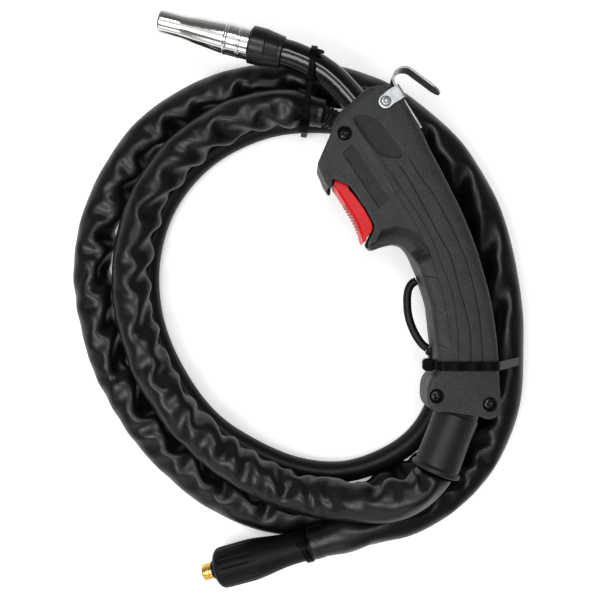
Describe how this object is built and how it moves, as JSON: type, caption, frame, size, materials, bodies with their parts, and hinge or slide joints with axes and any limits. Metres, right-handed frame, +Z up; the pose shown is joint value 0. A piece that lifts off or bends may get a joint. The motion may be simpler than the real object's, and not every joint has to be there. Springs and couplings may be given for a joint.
{
  "type": "mig welding torch",
  "caption": "Pistol-shaped welding torch with swan neck, conical gas nozzle, red trigger, hanging hook and a sheathed hose coiled in a ring that ends in a brass bayonet plug.",
  "frame": {"origin": "on the surface the torch lies on, below the centre of the torch's box without its hose, lead and plug", "axes": "+Z up from the surface, out of the side of the handle that faces up; +Y along the handle towards the hanging hook and the neck; +X towards the handle's back"},
  "size_m": [0.2701, 0.3394, 0.0671],
  "materials": {
    "nozzle_chrome": "polished chrome plating",
    "spring_steel": "plain wire",
    "copper": "plain copper, machined",
    "brass": "machined brass",
    "insulator_black": "moulded phenolic, satin gloss",
    "neck_black": "glossy black insulating sleeve",
    "liner_blue": "nylon liner",
    "handle_plastic": "fine textured matte dark grey",
    "black_screws": "black oxide",
    "zinc_steel": "bright zinc plated",
    "trigger_red": "satin red moulding",
    "switch_cream": "plain",
    "wire_red": "plain insulation",
    "boot_rubber": "smooth moulded rubber",
    "cable_rubber": "smooth satin rubber jacket",
    "sheath": "wrinkled glossy coated sleeve",
    "tie_nylon": "satin black nylon",
    "plug_rubber": "moulded rubber, fluted"
  },
  "bodies": {
    "torch": {"contact_tip": "copper", "tip_holder": "brass", "nozzle_insulator": "insulator_black", "neck_tube": "brass", "neck_sleeve": "neck_black", "wire_liner": "liner_blue", "neck_nut": "brass", "neck_block": "brass", "handle_shell_near": "handle_plastic", "handle_shell_far": "handle_plastic", "handle_screws": "black_screws", "handle_nuts": "zinc_steel", "trigger_pin": "zinc_steel", "trigger_spring": "spring_steel", "switch_body": "insulator_black", "switch_terminals": "brass", "switch_wires": "wire_red", "hanger_screw": "zinc_steel", "cable_boot": "boot_rubber", "cable_lug": "copper", "power_cable": "cable_rubber", "inner_sheath": "sheath", "strain_sleeve": "boot_rubber", "bare_hose": "cable_rubber", "outer_sheath": "sheath", "cable_tie_front": "tie_nylon", "cable_tie_rear": "tie_nylon", "cable_tie_plug": "tie_nylon", "control_lead": "cable_rubber", "lead_grommets": "boot_rubber", "plug_grip": "plug_rubber", "plug_pin": "brass", "plug_o_ring": "boot_rubber", "plug_set_screw": "zinc_steel", "nozzle_spring": "spring_steel"},
    "nozzle": {"gas_nozzle": "nozzle_chrome"},
    "trigger": {"trigger": "trigger_red"},
    "plunger": {"switch_plunger": "switch_cream"},
    "hanger": {"hanger_hook": "zinc_steel", "hanger_saddle": "zinc_steel"}
  },
  "joints": [
    {"name": "trigger_pivot", "type": "hinge", "parent": "torch", "child": "trigger", "pos_m": [-0.0042, 0.0375, 0.047], "axis": [0, 0, 1], "range_deg": [0, 5], "stiffness_Nm_per_rad": 0.6, "springref_deg": -20.05, "deforming": ["trigger_spring"]},
    {"name": "plunger_slide", "type": "slide", "parent": "torch", "child": "plunger", "axis": [0.8192, 0.5736, 0], "range_m": [0, 0.0018]},
    {"name": "hanger_pivot", "type": "hinge", "parent": "torch", "child": "hanger", "pos_m": [0.0188, 0.0775, 0.047], "axis": [0, 0, 1], "range_deg": [0, 55]},
    {"name": "nozzle_pull", "type": "slide", "parent": "torch", "child": "nozzle", "axis": [-0.9686, 0.2487, 0], "range_m": [0, 0.06]}
  ],
  "couplings": [
    {"joint": "plunger_slide", "follows": "trigger_pivot", "m_per_rad": 0.01755}
  ]
}
